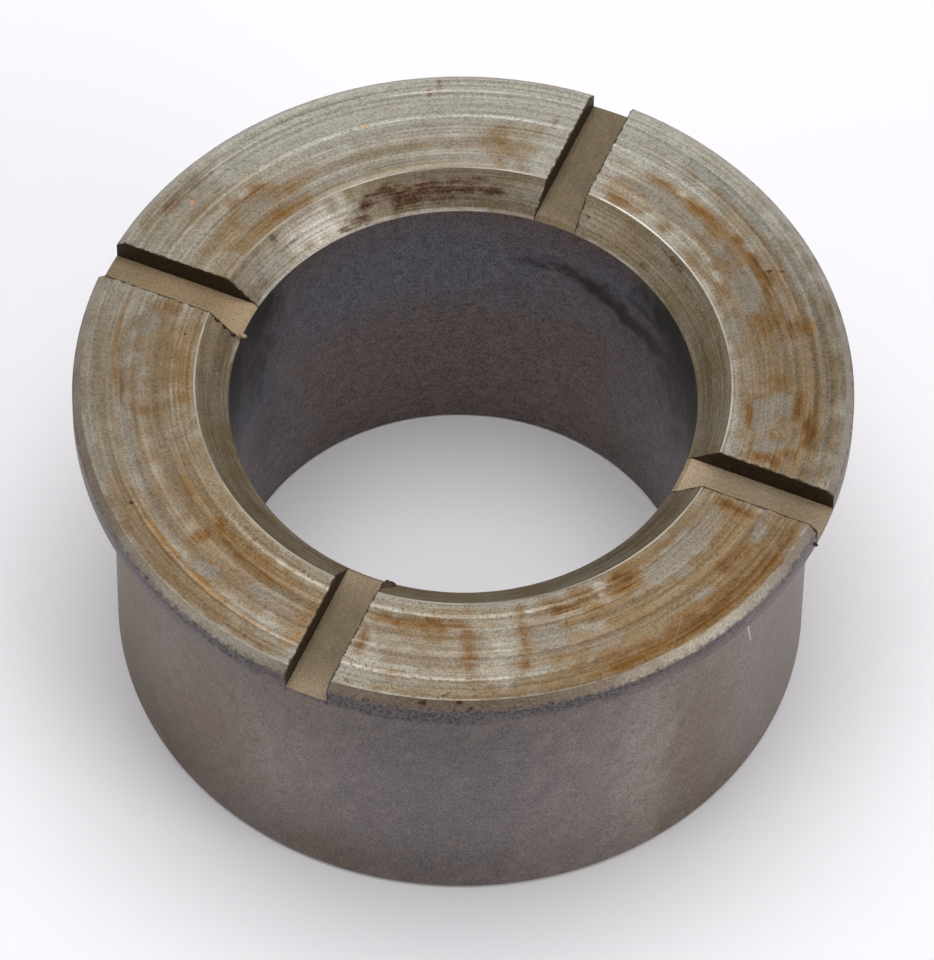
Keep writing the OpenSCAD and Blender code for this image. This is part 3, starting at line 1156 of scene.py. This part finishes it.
def sleeve():
    """The press-fit sleeve: matt, violet-grey at the front, olive-brown beside that, with pale rubbed spots,
    painted highlights down its sides and painted shade under the flange and near the table.
    """
    made, tree, shader = material("ground sleeve")
    violet = broken(tree, field(tree, "violet"), 0.35, 0.7, 0.1, 1.0)
    brown = broken(tree, field(tree, "brown"), 0.4, 0.8, 0.1, 1.0)
    # Pale rubbed spots and painted highlights down the sides
    pale = broken(tree, field(tree, "rubs and highlights"), 0.8, 0.7, 0.2, 1.0)
    color = blend(tree, violet, tone(128, 117, 110), tone(111, 103, 106))
    color = cover(tree, color, brown, 0.8, tone(113, 97, 79))
    color = cover(tree, color, pale, 0.5, tone(152, 140, 134))
    grain = speckle(tree, 12.0, 3.0)
    light = weighted(tree, (grain, 0.75), (speckle(tree, 2.5, 4.0), 0.15), (turning(tree, 30.0, 5.0), 0.1))
    # Painted shade: the sleeve darker under the flange and near the table
    color = blend(tree, field(tree, "sleeve shade"), shade(tree, color, light, 0.55, 1.45), SHADE_DIM, "MULTIPLY")
    color = scratch(tree, color, SLEEVE_SCRATCH, 1.0)
    finish(tree, shader, color, 0.6, 0.5, light, 0.005 * MM)
    return made


def bore():
    """The running bore: dark, blue-grey above and brown below, with smears."""
    made, tree, shader = material("running bore")
    blue = broken(tree, field(tree, "blue"), 0.4, 0.8, 0.1, 0.9)
    smear = broken(tree, field(tree, "smears"), 1.6, 1.5, 0.1, 1.3)
    color = blend(tree, blue, tone(110, 97, 94), tone(107, 105, 115))
    color = cover(tree, color, smear, 0.92, tone(31, 27, 21))
    grain = speckle(tree, 11.0, 3.0)
    light = weighted(tree, (grain, 0.65), (speckle(tree, 2.0, 4.0), 0.2), (turning(tree, 24.0, 5.0), 0.15))
    finish(tree, shader, shade(tree, color, light, 0.3, 1.68), 0.7, 0.48, light, 0.005 * MM)
    return made


def turned_end():
    """Shoulder and tail end: plain turned steel."""
    made, tree, shader = material("turned end")
    fine = turning(tree, 16.0, 6.0)
    color = blend(tree, speckle(tree, 0.4, 4.0), tone(150, 142, 128), tone(136, 122, 102))
    finish(tree, shader, shade(tree, color, fine, 0.8, 1.2), 0.8, 0.42, fine, 0.004 * MM)
    return made


# The finished piece

# Marks placed by radius and by height, under the names that the finishes read
RADIUS_MARKS = {
    "grey": GREY_MARKS,
    "rust": RUST_MARKS,
    "tan": TAN_MARKS,
    "dull_and_shade": DULL_AND_SHADE_MARKS,
    "pale": PALE_MARKS,
    "mouth": MOUTH_HIGHLIGHTS,
    "edge highlights and flecks": EDGE_HIGHLIGHTS_AND_FLECKS,
    "ring sheen": RING_SHEEN_MARKS,
    "gold": GOLD_MARKS,
    "orange": ORANGE_MARKS,
    "floor pale": FLOOR_PALES,
    "floor tan": FLOOR_TANS,
    "dark": DARK_MARKS,
}
HEIGHT_MARKS = {
    "smears": BORE_SMEARS,
    "blue": BORE_BLUES,
    "violet": SLEEVE_VIOLETS,
    "brown": SLEEVE_BROWNS,
    "rubs and highlights": SLEEVE_RUBS_AND_HIGHLIGHTS,
    "sleeve shade": SLEEVE_SHADE_MARKS,
    "bevel highlight": RIM_HIGHLIGHTS,
    "rim dark": RIM_DARKS,
    "rim spots": RIM_SPOTS,
}


def zone(center):
    """Which finish a face of the blank takes, by where it is."""
    radius = math.hypot(center.x, center.y)
    if radius < BORE_R + NEAR:
        return "bore"
    if radius < MOUTH_R + NEAR and center.z > TOP_Z - MOUTH_DEPTH - 2 * NEAR:
        return "countersink"
    if center.z > SHOULDER_Z + 2 * NEAR:
        return "rim" if radius > FACE_R + 0.5 * NEAR else "face"
    if radius > SLEEVE_R - 2 * NEAR and center.z < SHOULDER_Z - 0.5 * ROOT_R:
        return "sleeve"
    return "end"


def make_bushing():
    """The bushing, turned, slotted, burred and painted."""
    finishes = {
        "face": turned_face(),
        "countersink": countersink(),
        "rim": rim(),
        "sleeve": sleeve(),
        "bore": bore(),
        "end": turned_end(),
    }
    blank = turn_blank()
    order = list(finishes)
    for made in finishes.values():
        blank.data.materials.append(made)
    for f in blank.data.polygons:
        f.material_index = order.index(zone(f.center))
    floor = slot_floor()
    cut_slots(blank, slot_wall(), floor)
    burrs, *others = burr_lumps(DARK_BURRS, burr()) + burr_lumps(PALE_BURRS, floor)
    for lump in others:
        combine(burrs, lump, "UNION")
    combine(blank, burrs, "UNION")
    bpy.ops.object.shade_smooth_by_angle(angle=math.radians(SMOOTH_ANGLE))
    for name, marks in RADIUS_MARKS.items():
        paint(blank, name, marks)
    for name, marks in HEIGHT_MARKS.items():
        paint(blank, name, marks, by_height=True)
    return blank


bushing = make_bushing()
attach(bushing, "root")
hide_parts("bushing")


# Table, light and camera

TABLE_R = 0.6
TABLE_COLOR = (0.95, 0.94, 0.965, 1)


def pale_table():
    """The pale floor that the bushing stands on."""
    made, _, shader = material("pale table")
    shader["Base Color"].default_value = TABLE_COLOR
    shader["Roughness"].default_value = 0.9
    return made


bpy.ops.object.select_all(action="DESELECT")
bpy.ops.mesh.primitive_circle_add(vertices=64, radius=TABLE_R, fill_type="NGON", location=(0, 0, 0))
table = bpy.context.object
table.name = "table"
table.data.materials.append(pale_table())

STUDIO_LIGHT = 0.52
FRONT_LIGHT = 0.13
FRONT = (-0.383, -0.924, 0.0)
SKY_COLOR = (0.97, 0.97, 1.0, 1)


def studio_world():
    """Even light from all round, weaker from the front, where the room is dark."""
    world = bpy.data.worlds.new("studio")
    world.use_nodes = True
    tree = world.node_tree
    way = put(tree, "ShaderNodeTexCoord").outputs["Generated"]
    front = vector(tree, "DOT_PRODUCT", way, FRONT)["Value"]
    level = ramp(tree, front, 0.1, 0.85, STUDIO_LIGHT, FRONT_LIGHT)
    background = tree.nodes["Background"].inputs
    background["Color"].default_value = SKY_COLOR
    tree.links.new(level, background["Strength"])
    return world


bpy.context.scene.world = studio_world()

# Camera, fitted to the photo: it looks at the middle of the thrust face, a little turned aside
AZIMUTH = math.radians(-22.5)
ELEVATION = math.radians(54.23)
DISTANCE = 23.83 * 15.875 * MM
PAN, TILT, ROLL = (math.radians(a) for a in (0.0315, 0.6032, -0.8706))
FOCAL_PX = 9325.5
LONG_SIDE_PX = 960
SENSOR_W = 36


def aim(azimuth, elevation):
    """How something is turned that looks at the bushing from that side, and the way back to it."""
    back = Vector((
        math.sin(azimuth) * math.cos(elevation),
        -math.cos(azimuth) * math.cos(elevation),
        math.sin(elevation),
    ))
    right = Vector((math.cos(azimuth), math.sin(azimuth), 0))
    return Matrix((right, back.cross(right), back)).transposed().to_4x4(), back


turn, back = aim(AZIMUTH, ELEVATION)
for angle, axis in ((PAN, "Y"), (TILT, "X"), (ROLL, "Z")):
    turn = turn @ Matrix.Rotation(-angle, 4, axis)
bpy.ops.object.camera_add()
camera = bpy.context.object
camera.matrix_world = Matrix.Translation(Vector((0, 0, TOP_Z)) + back * DISTANCE) @ turn
camera.data.sensor_width = SENSOR_W
camera.data.lens = FOCAL_PX * SENSOR_W / LONG_SIDE_PX
bpy.context.scene.camera = camera

# Softboxes: azimuth, elevation, size and power; one overhead and a little behind, two fills in front
SOFT_DISTANCE = 0.5
SOFTBOXES = [
    (math.radians(180 - 22.5), math.radians(87), 0.36, 1.45),
    (math.radians(33.5), math.radians(29), 0.25, 0.6),
    (math.radians(-77.5), math.radians(28), 0.25, 0.22),
]
for azimuth, elevation, size, power in SOFTBOXES:
    turn, back = aim(azimuth, elevation)
    bpy.ops.object.light_add(type="AREA")
    softbox = bpy.context.object
    softbox.matrix_world = Matrix.Translation(back * SOFT_DISTANCE) @ turn
    softbox.data.shape = "SQUARE"
    softbox.data.size = size
    softbox.data.energy = power

bpy.context.scene.view_settings.view_transform = "Standard"
